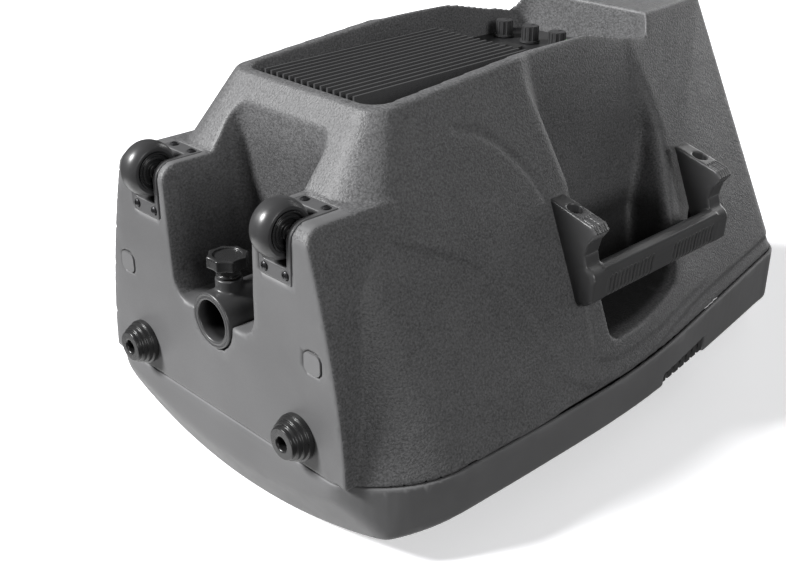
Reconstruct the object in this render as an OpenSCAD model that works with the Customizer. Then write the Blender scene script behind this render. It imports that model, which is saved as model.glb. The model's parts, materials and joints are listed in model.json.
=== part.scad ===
// Powered loudspeaker cabinet, 15-inch class, with pole socket, side handles and transport wheels.
// Upright: front towards -Y, rear towards +Y, +Z up. Left is -X, right is +X.
// Sub-parts are drawn about the pole axis with z = 0 on the cabinet's bottom face;
// place() then moves them so that the object stands on z = 0 with its depth centred on y = 0.

/* [Cabinet] */
// Half width of the cabinet at its widest level
half_w = 207.5; // [205:0.5:209]
// Height of the cabinet above its bottom face
cab_h = 672; // [668:1:676]
// Wall thickness of the mouldings
wall = 4; // [3.5:0.5:4.5]
// Plane where the front and rear mouldings meet
seam_y = -87.3; // [-88:0.1:-86.5]
// Radius of the lower corners at the seam
low_r = 105; // [103:1:107]
// Radius of the upper corners at the seam
top_r = 46; // [42:1:48]
// Furthest forward point of the bowed front
front_y = -166; // [-168:1:-164]
// Plane of the vertical part of the rear face
rear_y = 190; // [189:0.5:192]
// Radius of the front's bow, seen from above
bow_r = 593; // [580:1:610]

/* [Base] */
// Rear face of the two legs
leg_y = 117; // [116:0.5:118]
// Radius of the legs' lower rear edge
leg_r = 16; // [14:1:17]
// Half width of the notch between the legs, at its front
notch_w = 54; // [52:0.5:55]
// Height of the notch's ceiling
notch_h = 82; // [80:1:83]

/* [Pole socket] */
// Bore radius, for a 35 mm stand pole
pole_r = 18; // [17.8:0.1:18.2]
// Outer radius of the socket tube
tube_r = 24.5; // [24:0.5:25]
// Depth of the pole bore
bore_h = 106; // [95:1:108]
// Height of the clamp's axis
clamp_z = 19; // [18:0.5:20]
// Radius of the clamp knob
knob_r = 18; // [17:0.5:19]

/* [Wheels and feet] */
// Height of the feet below the bottom face
foot_h = 17.5; // [17:0.1:18]
// Tread radius of a wheel
wheel_r = 23.8; // [23.5:0.1:23.9]
// Width of a wheel
wheel_w = 24; // [23:0.5:24.5]
// Distance of each wheel from the middle
wheel_x = 85.75; // [85:0.25:86]
// Rearward place of the wheel axles
axle_y = 107.6; // [107:0.1:108]
// Height of the wheel axles
axle_z = 6.5; // [6.5:0.1:6.8]

/* [Handles] */
// Lower end of a side handle
grip_z0 = 256; // [254:1:258]
// Upper end of a side handle
grip_z1 = 466; // [464:1:468]
// Thickness of a handle's end arms
arm_t = 20; // [18:1:21]

/* [Drivers] */
// Height of the woofer's axis
woofer_z = 215; // [214:0.5:216]
// Outer radius of the woofer's frame
frame_r = 188; // [186:1:189]
// Height of the horn's axis
horn_z = 540; // [536:1:544]
// Travel of the cone each way
cone_travel = 6; // [4:1:7]

/* [Hidden] */
$fn = 64;
depth_mid = (front_y + rear_y) / 2;
widest_z = 260;
low_z = -11;
low_cz = low_z + low_r;
baffle_y0 = -118;
baffle_y1 = -106;
panel_y = 150;
rim_r = 20;
rim_w = 92;
rim_z = 96;
bend_y = 57;
bend_r = 58.5;
bend_w = 144;
bend_z = 6.4;
pocket_z0 = 280;
pocket_z1 = 436;
pocket_y = -54;
opening_w = 82;
opening_z0 = 106;
opening_z1 = 470;
gap = 0.1;
foot_x = 106.4;
foot_y = -60.9;
housing_screw_x = [73.4, 98.1];

// ---------- helpers ----------
module place() translate([0, -depth_mid, foot_h]) children();
module mirrored() {
    children();
    mirror([1, 0, 0]) children();
}
module rod_y(x, z, y0, y1, r) translate([x, y0, z]) rotate([-90, 0, 0]) cylinder(h = y1 - y0, r = r);
module rod_x(y, z, x0, x1, r) translate([x0, y, z]) rotate([0, 90, 0]) cylinder(h = x1 - x0, r = r);
module rod_z(x, y, z0, z1, r) translate([x, y, z0]) cylinder(h = z1 - z0, r = r);
module block(x0, x1, y0, y1, z0, z1) translate([x0, y0, z0]) cube([x1 - x0, y1 - y0, z1 - z0]);
// A flat shape drawn in X and Z, swept along Y
module slab_y(y0, y1) translate([0, y1, 0]) rotate([90, 0, 0]) linear_extrude(y1 - y0) children();
// A flat shape drawn in Y and Z, swept along X
module slab_x(x0, x1) translate([x0, 0, 0]) rotate([90, 0, 90]) linear_extrude(x1 - x0) children();
// A ring profile drawn as radius against depth, turned about an axis along Y; depth grows rearwards
module turned_y(x, z) translate([x, 0, z]) rotate([-90, 0, 0]) rotate_extrude($fn = 96) children();
module round_rect(x0, x1, z0, z1, r) {
    translate([x0 + r, z0]) square([x1 - x0 - 2 * r, z1 - z0]);
    translate([x0, z0 + r]) square([x1 - x0, z1 - z0 - 2 * r]);
    for (x = [x0 + r, x1 - r], z = [z0 + r, z1 - r]) translate([x, z]) circle(r);
}
// A screw with a low domed head and a cross recess; the head points up
module screw(r, len) difference() {
    union() {
        translate([0, 0, -len]) cylinder(h = len, r = r * 0.5);
        intersection() {
            translate([0, 0, -r * 0.9]) sphere(r * 1.5);
            cylinder(h = r, r = r);
        }
    }
    for (a = [0, 90]) rotate(a) translate([-r * 0.55, -r * 0.13, r * 0.28]) cube([r * 1.1, r * 0.26, r]);
}

// ---------- cabinet outline ----------
// Half width of the seam outline at a height: widest low down, drawing in towards the top
upper_z = 409;
upper_drop = 0.00058 * pow(upper_z - widest_z, 2);
function level_w(z) =
    z < widest_z ? half_w - 0.00015 * pow(widest_z - z, 2) :
    z < upper_z ? half_w - 0.00058 * pow(z - widest_z, 2) :
    half_w - upper_drop - 0.173 * (z - upper_z);
function arc(cx, cz, r, a0, a1, n) = [for (i = [0 : n]) let (a = a0 + (a1 - a0) * i / n) [cx + r * cos(a), cz + r * sin(a)]];
top_cz = cab_h - top_r;
function half_outline(t) = concat(
    arc(level_w(low_cz) - low_r, low_cz, low_r - t, -90, 0, 12),
    [for (i = [1 : 9]) let (z = low_cz + (top_cz - low_cz) * i / 10) [level_w(z) - t, z]],
    arc(level_w(top_cz) - top_r, top_cz, top_r - t, 0, 90, 6));
function other_half(pts) = [for (i = [len(pts) - 1 : -1 : 0]) [-pts[i][0], pts[i][1]]];
module outline(t) intersection() {
    polygon(concat(half_outline(t), other_half(half_outline(t))));
    translate([-300, max(t, 0)]) square([600, 800]);
}

// Tapered body behind the seam, drawn in by t all round
module body(t) hull() {
    slab_y(seam_y - (t > 0 ? 1 : 0), seam_y + 0.5) polygon(concat(half_outline(t), other_half(half_outline(t))));
    for (s = [-1, 1]) {
        rod_y(s * (bend_w - bend_r), bend_z + bend_r, bend_y - 1, bend_y, bend_r - t, $fn = 48);
        rod_y(s * (rim_w - rim_r), rim_z + rim_r, 170, 177 - t, rim_r - t, $fn = 32);
    }
    slab_y(rear_y - t - 1, rear_y - t) rear_face(t);
}
module rear_face(t) polygon([[-rim_w + t, 281], [rim_w - t, 281], [64 - t, 572], [44 - t, 594 - t],
    [-44 + t, 594 - t], [-64 + t, 572]]);
// Flat-bottomed base with the two legs; its flanks draw in towards the rear
function base_w(y) = 160.5 - 41 * pow((y - seam_y) / (leg_y - seam_y), 1.63);
function base_edge(t) = [for (i = [0 : 10]) let (y = seam_y + (leg_y - seam_y - t) * i / 10) [base_w(y) - t, y]];
module base_plan(t) polygon(concat(base_edge(t), other_half(base_edge(t))));
module leg_profile(t) difference() {
    translate([seam_y, t]) square([leg_y - seam_y - t, 90 - t]);
    difference() {
        translate([leg_y - leg_r, 0]) square(leg_r + 1);
        translate([leg_y - leg_r, leg_r]) circle(leg_r - t);
        translate([leg_y - leg_r - 1, leg_r]) square([leg_r + 1 - t, leg_r]);
    }
}
module base(t) intersection() {
    linear_extrude(90) base_plan(t);
    slab_x(-170, 170) leg_profile(t);
}
// The U-shaped notch between the legs, open downwards and to the rear
module notch(t) translate([0, 0, -1]) linear_extrude(notch_h + 1 + t) {
    polygon([[-notch_w - t, 21], [notch_w + t, 21], [notch_w + 5 + t, 122], [notch_w + 5 + t, 200],
        [-notch_w - 5 - t, 200], [-notch_w - 5 - t, 122]]);
    for (s = [-1, 1]) translate([s * (notch_w - 18), 21]) circle(18 + t);
    translate([-36, 3 - t]) square([72, 30]);
}
// The deep finger pocket behind a side handle, open sideways and to the rear
module pocket(t) translate([0, 0, pocket_z0 - t]) linear_extrude(pocket_z1 - pocket_z0 + 2 * t)
    polygon([[92 - t, 230], [104 - t, 16], [121 - t, pocket_y - t], [300, pocket_y - t], [300, 230]]);
module top_recess(t) block(-72 - t, 72 + t, -14 - t, 44 + t, 600 - t, 720);
module opening(t) round_rect(-opening_w - t, opening_w + t, opening_z0 - t, opening_z1 + t, 18 + t);
// Room in a leg for the wheel housing
module housing_seat(g) {
    slab_x(67 - g, 104.5 + g) difference() {
        translate([68 - g, -1]) square([60, 49 + g]);
        translate([0, 3 + g]) square([leg_y - 3 - g, 100]);
    }
    slab_x(70 - g, 101.5 + g) translate([79 - g, -1]) square([60, 36 + g]);
}
// Bosses inside the rear shell that take the cabinet screws, as X and Z
boss_r = 5.7;
boss_spots = [for (z = [120, 300, 560], s = [-1, 1]) [s * (level_w(z) - 11), z],
    [-120, 44], [120, 44], [-70, cab_h - 11], [70, cab_h - 11]];

module rear_shell() color("dimgray") difference() {
    union() {
        difference() {
            intersection() {
                union() {
                    body(0);
                    base(0);
                }
                block(-300, 300, seam_y, 300, 0, 700);
            }
            difference() {
                intersection() {
                    union() {
                        body(wall);
                        base(wall);
                    }
                    block(-300, 300, seam_y - 2, 300, wall, 700);
                }
                notch(wall);
                rod_z(0, 0, 0, bore_h + 12, tube_r + 3);
                mirrored() pocket(wall);
                top_recess(wall);
                slab_y(143, 200) opening(wall);
                mirrored() block(63, 108.5, 64, 130, 0, 52);
            }
        }
        for (p = boss_spots) rod_y(p[0], p[1], -105.5, -72, boss_r);
        mirrored() block(118, 122, -86, -72, 2, 40);
    }
    notch(0);
    rod_z(0, 0, -1, bore_h + 4 + gap, tube_r + gap);
    mirrored() {
        pocket(0);
        housing_seat(gap);
        for (z = [grip_z0 + arm_t / 2, grip_z1 - arm_t / 2]) rod_y(158, z, -10, 60, 4.2);
        translate([125, 11, -1]) linear_extrude(3.7) round_rect(-9.35, 9.35, -8.85, 8.85, 5);
        rod_z(foot_x, foot_y, -1, 12, 2.6);
        for (x = housing_screw_x) {
            rod_z(x, 75, -1, 11, 1.8);
            rod_y(x, 41, 107, 120, 1.8);
        }
    }
    top_recess(0);
    for (s = [-1, 1]) rod_x(14, 627, s * 80 - 12, s * 80 + 12, 6.2);
    slab_y(147, 230) opening(0);
    slab_y(140, 150) round_rect(-opening_w + 12, opening_w - 12, opening_z0 + 12, opening_z1 - 12, 8);
    for (x = [-76, 76], z = [124, 288, 452]) rod_y(x, z, 140, 150, 1.7);
    for (p = boss_spots) rod_y(p[0], p[1], -106, -80, 2.1);
}

// ---------- front ----------
// The moulding's outer form: the outline swept forwards, cut by the bow and by the lower chamfer
module front_form(t) intersection() {
    slab_y(-175, seam_y) outline(t);
    translate([0, front_y + bow_r, -50]) cylinder(h = 800, r = bow_r - t, $fn = 240);
    translate([0, -126.4 + t, 0]) rotate([63.435, 0, 0]) translate([0, 908, -900]) cylinder(h = 1800, r = 908, $fn = 360);
    block(-300, 300, -200, seam_y, t, 700);
}
module grille_plan(t) intersection() {
    outline(16 + t);
    union() {
        translate([-300, 36 + t]) square([600, 336 - 2 * t]);
        translate([0, woofer_z]) circle(186 - t, $fn = 120);
    }
}
port_x = 150;
port_z = 420;
module port_recess(t) translate([port_x, 0]) round_rect(-18 - t, 60, port_z - 48 - t, port_z + 48 + t, 8);
module front_baffle() color("gray") difference() {
    front_form(0);
    // hollow behind the baffle plate, and behind the upper front
    slab_y(baffle_y1, 0) outline(wall + 1);
    intersection() {
        front_form(wall + 1);
        union() {
            block(-300, 300, -200, baffle_y1 + 1, 472, 700);
            block(-126, 126, -200, baffle_y1 + 1, 408, 480);
        }
    }
    slab_y(-200, baffle_y0) grille_plan(0);
    rod_y(0, woofer_z, baffle_y0 - 4.5, baffle_y0, frame_r, $fn = 120);
    rod_y(0, woofer_z, -200, 0, 176, $fn = 120);
    slab_y(-200, 0) round_rect(-118, 118, horn_z - 62, horn_z + 82, 20);
    mirrored() {
        slab_y(-200, baffle_y0) port_recess(0);
        rod_y(port_x, port_z, -200, 0, 21);
    }
    for (p = boss_spots) rod_y(p[0], p[1], -119, -100, 2.6);
    for (p = boss_spots) rod_y(p[0], p[1], -200, -114, 5);
    for (i = [0 : 7]) let (a = 22.5 + i * 45) rod_y(181 * cos(a), woofer_z + 181 * sin(a), -119, -100, 2.2);
}
module seam_gasket() color("black") slab_y(seam_y + 0.1, seam_y + 3) difference() {
    outline(wall + 2.4);
    outline(wall + 6);
    for (s = [-1, 1]) translate([s * 120 - 2.6, 0]) square([5.2, 60]);
    for (p = boss_spots) translate([p[0], p[1]]) circle(boss_r + 0.5);
}
module cabinet_screws() color("silver") for (p = boss_spots) translate([p[0], -114, p[1]]) rotate([90, 0, 0]) screw(4, 26);
module woofer_grille() color("black") intersection() {
    slab_y(-175, baffle_y0 - 4) grille_plan(0.5);
    difference() {
        translate([0, front_y + bow_r, 0]) cylinder(h = 700, r = bow_r - 3, $fn = 240);
        translate([0, front_y + bow_r, -1]) cylinder(h = 702, r = bow_r - 4.5, $fn = 240);
    }
}
// A corner insert with horizontal fins that wrap round to the cabinet's side
module port_insert() difference() {
    intersection() {
        slab_y(-156, baffle_y0 - 0.1) outline(3);
        slab_y(-156, baffle_y0 - 0.1) port_recess(-0.3);
        union() {
            block(0, 300, baffle_y0 - 4, 0, 0, 700);
            for (i = [-3 : 3]) block(0, 300, -156, baffle_y0 - 1, port_z + i * 14 - 4.5, port_z + i * 14 + 4.5);
        }
        translate([0, front_y + bow_r, 0]) cylinder(h = 700, r = bow_r - 3, $fn = 240);
    }
    rod_y(port_x, port_z, -200, 0, 21);
}
module port_insert_left() color("black") mirror([1, 0, 0]) port_insert();
module port_insert_right() color("black") port_insert();
module port_tube() difference() {
    union() {
        rod_y(port_x, port_z, baffle_y0 + 0.2, -72, 20.8);
        rod_y(port_x, port_z, -105.9, -102, 26);
    }
    rod_y(port_x, port_z, -127, -71, 18.3);
}
module port_tube_left() color("black") mirror([1, 0, 0]) port_tube();
module port_tube_right() color("black") port_tube();

// ---------- woofer ----------
// Radii and depths of the driver; depth is the rearward Y of each face
magnet_r = 80;
module woofer_basket() color("dimgray") difference() {
    turned_y(0, woofer_z) polygon([[165, -121.5], [frame_r - 0.5, -121.5], [frame_r - 0.5, -118.1], [174, -118.1], [174, -106],
        [122, -67], [86, -25], [60, -25], [60, -28], [84, -28], [118, -69], [169, -108], [170, -117], [165, -117]]);
    for (i = [0 : 5]) rotate_about_woofer(i * 60) block(95, 150, -110, -30, -26, 26);
    for (i = [0 : 7]) let (a = 22.5 + i * 45) rod_y(181 * cos(a), woofer_z + 181 * sin(a), -123, -100, 2.2);
}
module rotate_about_woofer(a) translate([0, 0, woofer_z]) rotate([0, a, 0]) children();
module woofer_top_plate() color("silver") turned_y(0, woofer_z) translate([39.2, -24.9]) square([37, 7.9]);
module woofer_magnet() color("black") turned_y(0, woofer_z) translate([46, -16.9]) square([magnet_r - 46, 26]);
module woofer_yoke() color("silver") difference() {
    turned_y(0, woofer_z) polygon([[12, -25], [36.5, -25], [36.5, 9.2], [76, 9.2], [76, 17], [12, 17]]);
    rod_y(0, woofer_z, -26, 18, 12.5);
}
module woofer_cone() color("black") turned_y(0, woofer_z)
    polygon([[37.2, -56], [38.4, -56], [152, -112.5], [152, -110.5], [38.4, -53.5], [37.2, -53.5]]);
module dust_cap() color("black") intersection() {
    difference() {
        translate([0, -28, woofer_z]) sphere(60, $fn = 96);
        translate([0, -28, woofer_z]) sphere(59, $fn = 96);
    }
    block(-100, 100, -120, -61.6, 0, 400);
}
module voice_coil() color("peru") turned_y(0, woofer_z) translate([37.2, -53.4]) square([1, 41.4]);
module woofer_surround() color("black") turned_y(0, woofer_z)
    difference() {
        union() {
            translate([152.2, -113]) square([16, 1]);
            translate([160, -112.5]) circle(6);
        }
        translate([160, -112.5]) circle(5);
        translate([150, -112]) square([20, 20]);
    }
module woofer_spider() color("tan") turned_y(0, woofer_z)
    polygon([[38.6, -40], [50, -43], [62, -40], [74, -43], [86, -40], [93, -42], [93, -41], [86, -39], [74, -42],
        [62, -39], [50, -42], [38.6, -39]]);
module woofer_screws() color("silver") for (i = [0 : 7]) let (a = 22.5 + i * 45)
    translate([181 * cos(a), -121.6, woofer_z + 181 * sin(a)]) rotate([90, 0, 0]) screw(3.6, 18);

// ---------- horn ----------
horn_depth = 60;
module horn_shape(t) hull() {
    slab_y(-132, -130) round_rect(-112 - t, 112 + t, horn_z - 56 - t, horn_z + 76 + t, 18);
    slab_y(-60, -59) translate([0, horn_z]) circle(13 + t, $fn = 32);
}
module horn_flare() color("black") difference() {
    union() {
        horn_shape(3);
        slab_y(-134, -130) round_rect(-117.5, 117.5, horn_z - 61.5, horn_z + 81.5, 19);
        rod_y(0, horn_z, -68, -50, 30);
    }
    horn_shape(0);
    slab_y(-140, -130) round_rect(-112, 112, horn_z - 56, horn_z + 76, 18);
    rod_y(0, horn_z, -70, -49, 12.7);
}
module compression_driver() color("dimgray") difference() {
    turned_y(0, horn_z) polygon([[12.7, -49.9], [55, -49.9], [55, -16], [50, -16], [50, -20], [12.7, -36]]);
    rod_y(0, horn_z, -60, -10, 12.7);
}
module driver_cap() color("black") turned_y(0, horn_z)
    polygon([[0.01, 2], [38, 2], [46, -3], [54, -15.9], [50.2, -15.9], [43, -6], [36, -1], [0.01, -1]]);
module hf_diaphragm() color("silver") intersection() {
    difference() {
        translate([0, 4, horn_z]) sphere(33, $fn = 64);
        translate([0, 4, horn_z]) sphere(32.6, $fn = 64);
    }
    block(-50, 50, -28.4, -17, horn_z - 50, horn_z + 50);
}

// ---------- amplifier panel ----------
fin_pitch = 8;
fin_x0 = -42;
fins = 15;
fin_z0 = 120;
fin_z1 = 330;
inlet_spot = [-44, 356];
rocker_spot = [-44, 398];
fuse_spot = [-44, 428];
led_spot = [4, 452];
socket_spots = [[12, 358], [50, 358]];
link_spot = [31, 390];
knob_spots = [[-4, 424], [30, 424], [64, 424]];
module amp_panel() color("black") difference() {
    slab_y(panel_y - 3, panel_y) round_rect(-81.5, 81.5, opening_z0 + 0.5, opening_z1 - 0.5, 17.5);
    slab_y(100, 160) at(inlet_spot) square([47.4, 27.4], center = true);
    slab_y(100, 160) at(rocker_spot) square([27.4, 13.4], center = true);
    for (p = socket_spots) rod_y(p[0], p[1], 100, 160, 12.2);
    for (p = concat(knob_spots)) rod_y(p[0], p[1], 100, 160, 3.6);
    rod_y(link_spot[0], link_spot[1], 100, 160, 9.2);
    rod_y(fuse_spot[0], fuse_spot[1], 100, 160, 7.2);
    rod_y(led_spot[0], led_spot[1], 100, 160, 2.6);
    for (x = [-76, 76], z = [124, 288, 452]) rod_y(x, z, 140, 160, 2);
}
module at(p) translate([p[0], p[1]]) children();
module heatsink() color("black") {
    block(fin_x0 - 2, fin_x0 + (fins - 1) * fin_pitch + 2, panel_y + 0.05, panel_y + 4, fin_z0, fin_z1);
    for (i = [0 : fins - 1]) block(fin_x0 + i * fin_pitch - 1, fin_x0 + i * fin_pitch + 1, panel_y + 3, 173, fin_z0, fin_z1);
}
module main_board() color("seagreen") difference() {
    block(-66, 66, 126, 127.6, 120, 440);
    for (x = [-58, 58], z = [128, 300]) rod_y(x, z, 120, 130, 1.8);
    slab_y(120, 130) at(inlet_spot) square([60, 80], center = true);
    for (p = socket_spots) rod_y(p[0], p[1], 120, 130, 14);
}
module board_spacers() color("gold") for (x = [-58, 58], z = [128, 300]) {
    rod_y(x, z, 127.7, panel_y - 3.05, 3);
    rod_y(x, z, 122, 127.8, 1.6);
}
module power_transformer() color("darkgoldenrod") difference() {
    turned_y(0, 372) translate([20, 74]) round_rect(0, 32, 0, 34, 10);
    rod_y(0, 372, 60, 120, 4);
}
module mains_inlet() color("black") difference() {
    union() {
        slab_y(panel_y + 0.05, panel_y + 3) at(inlet_spot) round_rect(-29, 29, -16, 16, 4);
        slab_y(122, panel_y + 1) at(inlet_spot) square([47, 27], center = true);
    }
    slab_y(133, panel_y + 4) at(inlet_spot) polygon([[-12.5, -9], [12.5, -9], [12.5, 4], [8, 8.5], [-8, 8.5], [-12.5, 4]]);
}
module fuse_holder() color("black") {
    rod_y(fuse_spot[0], fuse_spot[1], panel_y + 0.05, panel_y + 8, 9);
    rod_y(fuse_spot[0], fuse_spot[1], 128, panel_y + 1, 7);
}
module power_rocker() color("black") slab_x(rocker_spot[0] - 13, rocker_spot[0] + 13)
    translate([panel_y + 1, rocker_spot[1]]) polygon([[-9, -4.5], [0, -6], [5.5, -6], [2.5, 0], [3.5, 6], [0, 6], [-9, 4.5]]);
module level_knob(p) color("black") difference() {
    union() {
        rod_y(p[0], p[1], panel_y + 2.4, panel_y + 17, 8);
        rod_y(p[0], p[1], panel_y + 1, panel_y + 3, 10);
        rod_y(p[0], p[1], panel_y - 12, panel_y + 2, 3.5);
        for (i = [0 : 11]) let (a = i * 30) rod_y(p[0] + 8 * cos(a), p[1] + 8 * sin(a), panel_y + 2.4, panel_y + 16.4, 0.8);
    }
    block(p[0] - 0.7, p[0] + 0.7, panel_y + 16, panel_y + 18, p[1] + 1, p[1] + 7);
}
module input_sockets() color("black") for (p = socket_spots) difference() {
    union() {
        rod_y(p[0], p[1], 132, panel_y + 2, 12);
        slab_y(panel_y + 0.05, panel_y + 2) at(p) round_rect(-13, 13, -15.5, 15.5, 3);
    }
    rod_y(p[0], p[1], 137, panel_y + 3, 9.5);
}
module link_socket() color("black") difference() {
    union() {
        rod_y(link_spot[0], link_spot[1], 132, panel_y + 1, 9);
        slab_y(panel_y + 0.05, panel_y + 2.5) at(link_spot) round_rect(-12, 12, -12, 12, 3);
    }
    rod_y(link_spot[0], link_spot[1], 137, panel_y + 3, 3.3);
}
module status_led() color("lime") rod_y(led_spot[0], led_spot[1], 144, panel_y + 2, 2.5);
module panel_screws() color("silver") for (x = [-76, 76], z = [124, 288, 452])
    translate([x, panel_y + 0.05, z]) rotate([-90, 0, 0]) screw(3.2, 6);

// ---------- pole socket and clamp ----------
boss_end = 34;
module pole_socket() color("dimgray") difference() {
    union() {
        rod_z(0, 0, -1.5, bore_h + 4, tube_r);
        rod_y(0, clamp_z, 12, boss_end, 11.5);
    }
    rod_z(0, 0, -2, bore_h, pole_r);
    rod_y(0, clamp_z, 5, 30, 4.05);
    rod_y(0, clamp_z, 26.5, boss_end + 1, 7);
}
module clamp_insert() color("gold") difference() {
    rod_y(0, clamp_z, 26.6, boss_end, 6.98);
    rod_y(0, clamp_z, 26, boss_end + 1, 4);
}
module clamp_pad() color("silver") rod_y(0, clamp_z, 18.4, 25.6, 4);
// Lobed hand knob on its screw, turning about the clamp's axis
module clamp_knob() color("black") difference() {
    union() {
        rod_y(0, clamp_z, 25.8, 45, 3.95);
        rod_y(0, clamp_z, boss_end + 1, 45, 9.5);
        slab_y(44, 54.5) translate([0, clamp_z]) {
            circle(knob_r - 2.5);
            for (i = [0 : 7]) rotate(22.5 + i * 45) translate([knob_r - 6, 0]) circle(6);
        }
    }
    rod_y(0, clamp_z, 52.5, 56, 12);
    for (i = [0 : 7]) let (a = i * 45) rod_y(25 * cos(a), clamp_z + 25 * sin(a), 43, 56, 9);
}

// ---------- wheels ----------
module wheel_housing() difference() {
    intersection() {
        union() {
            slab_x(67, 104.5) difference() {
                leg_profile(0);
                translate([seam_y, 3]) square([leg_y - 3 - seam_y, 200]);
                translate([seam_y - 1, -1]) square([68 - seam_y + 1, 200]);
                translate([0, 48]) square([200, 200]);
            }
            slab_x(70, 101.5) intersection() {
                leg_profile(0);
                translate([79, 0]) square([60, 35]);
            }
        }
        block(60, 110, 60, 120, 0, 48);
    }
    slab_x(72, 99.5) translate([81, -1]) square([60, 34]);
    rod_x(axle_y, axle_z, 69, 103, 3);
    for (x = housing_screw_x) {
        rod_z(x, 75, -1, 6, 1.8);
        rod_y(x, 41, 112, 120, 1.8);
    }
}
module wheel_housing_left() color("black") mirror([1, 0, 0]) wheel_housing();
module wheel_housing_right() color("black") wheel_housing();
module wheel_axles() color("silver") mirrored() rod_x(axle_y, axle_z, 70.2, 101.3, 2.98);
hub_r = 16;
module turned_x(x) translate([x, axle_y, axle_z]) rotate([0, 90, 0]) rotate_extrude($fn = 96) children();
module wheel(s) color("black") turned_x(s * wheel_x) difference() {
    translate([3.05, -wheel_w / 2]) square([hub_r - 3.05, wheel_w]);
    for (y = [-wheel_w / 2, wheel_w / 2 - 3]) translate([6.5, y]) square([6, 3]);
}
module tyre(s) color("black") turned_x(s * wheel_x) intersection() {
    translate([hub_r + 0.02, -wheel_w / 2]) square([wheel_r - hub_r, wheel_w]);
    translate([wheel_r - 60, 0]) circle(60, $fn = 240);
    translate([0, -wheel_w / 2]) square([wheel_r, wheel_w]);
}
module wheel_left() wheel(-1);
module wheel_right() wheel(1);
module tyre_left() tyre(-1);
module tyre_right() tyre(1);
module housing_screws() color("silver") mirrored() for (x = housing_screw_x) {
    translate([x, 75, -0.02]) rotate([180, 0, 0]) screw(3.4, 9);
    translate([x, leg_y + 0.02, 41]) rotate([-90, 0, 0]) screw(3.4, 9);
}

// ---------- feet and plugs ----------
module foot() color("black") translate([foot_x, foot_y, 0]) rotate([180, 0, 0]) difference() {
    union() {
        cylinder(h = 6, r = 20);
        cylinder(h = 10.5, r = 17.5);
        cylinder(h = 14.5, r = 15);
        cylinder(h = foot_h, r = 12.5);
    }
    translate([0, 0, -1]) cylinder(h = 20, r = 2.8);
    translate([0, 0, 6]) cylinder(h = 20, r = 6);
}
module foot_left() mirror([1, 0, 0]) foot();
module foot_right() foot();
module foot_screws() color("silver") mirrored() translate([foot_x, foot_y, -6.05]) rotate([180, 0, 0]) screw(5, 17);
module blanking_plugs() color("dimgray") mirrored() translate([125, 11, 0]) linear_extrude(2.6) round_rect(-9.25, 9.25, -8.75, 8.75, 5);

// ---------- handles ----------
// Bar and arms of a side handle, seen from above; arms reach in to the cabinet's side
bar_x = 182;
module bar_section() {
    translate([bar_x, 16]) circle(9);
    translate([bar_x - 1, -1]) circle(8.5);
    polygon([[bar_x - 9, 16], [bar_x + 9, 16], [bar_x + 8.5, 7], [bar_x + 7.5, -1], [bar_x - 9.5, -1]]);
}
module arm_section() difference() {
    polygon([[128, 78], [140, 76], [184, 64], [189, 58], [182, 48], [179, 36], [182, 25], [190, 14], [190, -4],
        [182, -10], [172, -10], [105, 60]]);
    translate([204, 42]) circle(20);
}
module side_handle() difference() {
    union() {
        translate([0, 0, grip_z0]) linear_extrude(arm_t) arm_section();
        translate([0, 0, grip_z1 - arm_t]) linear_extrude(arm_t) arm_section();
        translate([0, 0, grip_z0]) linear_extrude(grip_z1 - grip_z0) bar_section();
    }
    body(-0.05);
    for (z = [grip_z0 + arm_t / 2, grip_z1 - arm_t / 2]) {
        rod_y(158, z, 0, 90, 4.2);
        rod_y(158, z, 52, 90, 7);
    }
}
module side_handle_left() color("dimgray") mirror([1, 0, 0]) side_handle();
module side_handle_right() color("dimgray") side_handle();
module handle_bolts() color("silver") mirrored() for (z = [grip_z0 + arm_t / 2, grip_z1 - arm_t / 2]) difference() {
    union() {
        rod_y(158, z, 2, 53, 3.9);
        rod_y(158, z, 52.05, 59, 6.5);
    }
    rod_y(158, z, 56, 60, 3.4, $fn = 6);
}
module top_handle() color("dimgray") {
    rod_x(14, 627, -71.8, 71.8, 11);
    for (s = [-1, 1]) rod_x(14, 627, s * 80 - 9, s * 80 + 9, 6);
}
module damping_pad() color("slategray") block(-60, 60, 60, 100, 480, 560);
// Two insulated leads from the board to the woofer's and the horn driver's terminals
module lead(pts, r) for (i = [0 : len(pts) - 2]) hull() for (p = [pts[i], pts[i + 1]]) translate(p) sphere(r, $fn = 10);
woofer_lead = [[46, 123, 300], [76, 80, 282], [83, 20, 264], [83, -8, 256]];
horn_lead = [[56, 123, 446], [60, 56, 472], [50, 16, 510], [44, 8, 520]];
module driver_leads() color("red") {
    lead(woofer_lead, 2.2);
    lead(horn_lead, 2.2);
}

place() rear_shell();
place() front_baffle();
place() seam_gasket();
place() cabinet_screws();
place() woofer_grille();
place() port_insert_left();
place() port_insert_right();
place() port_tube_left();
place() port_tube_right();
place() woofer_basket();
place() woofer_magnet();
place() woofer_yoke();
place() woofer_top_plate();
place() woofer_cone();
place() dust_cap();
place() voice_coil();
place() woofer_surround();
place() woofer_spider();
place() woofer_screws();
place() horn_flare();
place() compression_driver();
place() driver_cap();
place() hf_diaphragm();
place() amp_panel();
place() heatsink();
place() main_board();
place() power_transformer();
place() board_spacers();
place() mains_inlet();
place() fuse_holder();
place() power_rocker();
place() level_knob(knob_spots[0]);  // mic_knob
place() level_knob(knob_spots[1]);  // line_knob
place() level_knob(knob_spots[2]);  // master_knob
place() input_sockets();
place() link_socket();
place() status_led();
place() panel_screws();
place() pole_socket();
place() clamp_insert();
place() clamp_knob();
place() clamp_pad();
place() wheel_housing_left();
place() wheel_housing_right();
place() wheel_axles();
place() wheel_left();
place() wheel_right();
place() tyre_left();
place() tyre_right();
place() housing_screws();
place() foot_left();
place() foot_right();
place() foot_screws();
place() blanking_plugs();
place() side_handle_left();
place() side_handle_right();
place() handle_bolts();
place() top_handle();
place() damping_pad();
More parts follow.
